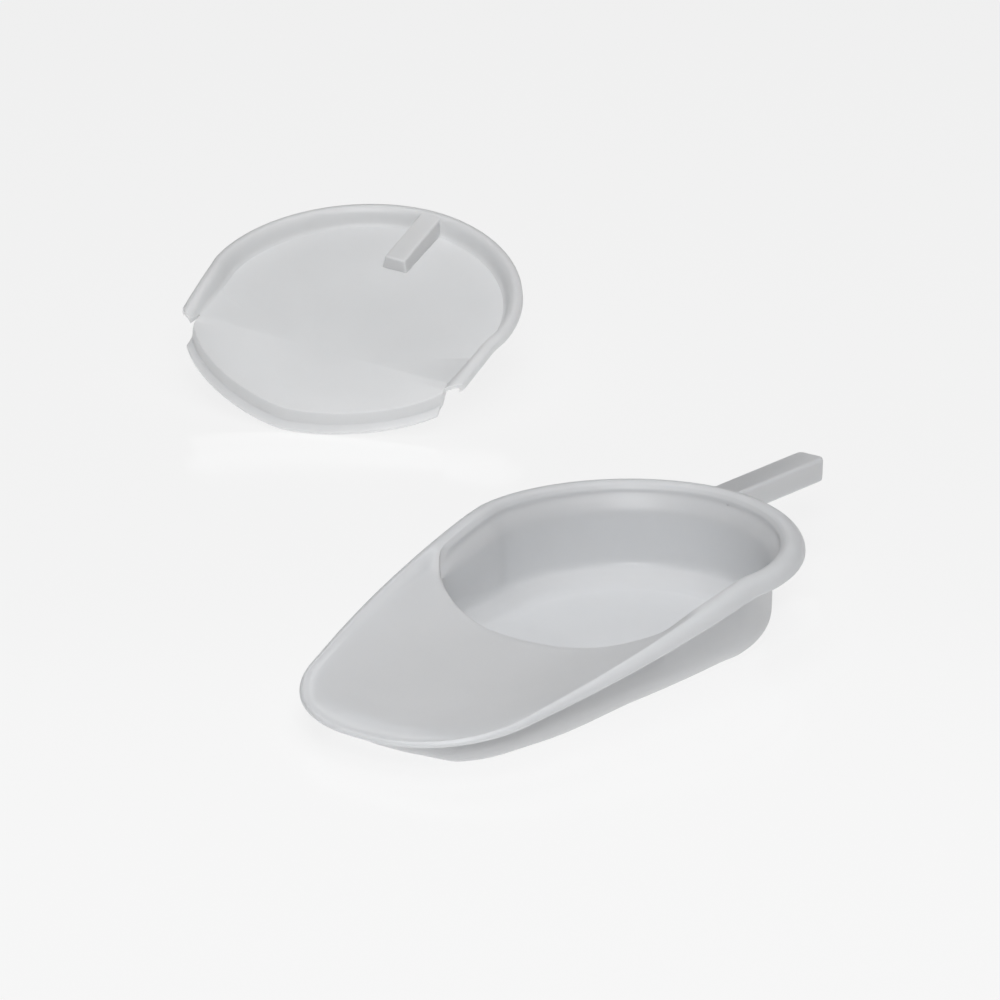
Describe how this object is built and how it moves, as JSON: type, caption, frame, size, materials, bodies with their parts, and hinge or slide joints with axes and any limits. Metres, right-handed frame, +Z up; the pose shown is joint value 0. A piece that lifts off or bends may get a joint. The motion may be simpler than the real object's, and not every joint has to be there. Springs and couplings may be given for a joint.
{
  "type": "bedpan",
  "caption": "Slipper bedpan of moulded polypropylene with a sloping seat deck, rolled rim and bar handle, and its separate lift-off lid with a grip.",
  "frame": {"origin": "on the floor, in the middle of the pan's flat base", "axes": "+Z up from the base, +Y along the pan's middle line towards the handle, -Y towards the low seat end"},
  "size_m": [0.6784, 0.7161, 0.1023],
  "materials": {
    "pan_plastic": "satin",
    "lid_plastic": "satin"
  },
  "bodies": {
    "pan": {"pan": "pan_plastic"},
    "lid": {"lid": "lid_plastic"}
  },
  "joints": [
    {"name": "lid_lift", "type": "slide", "parent": "pan", "child": "lid", "axis": [0, 0, 1], "range_m": [0, 0.2]}
  ]
}
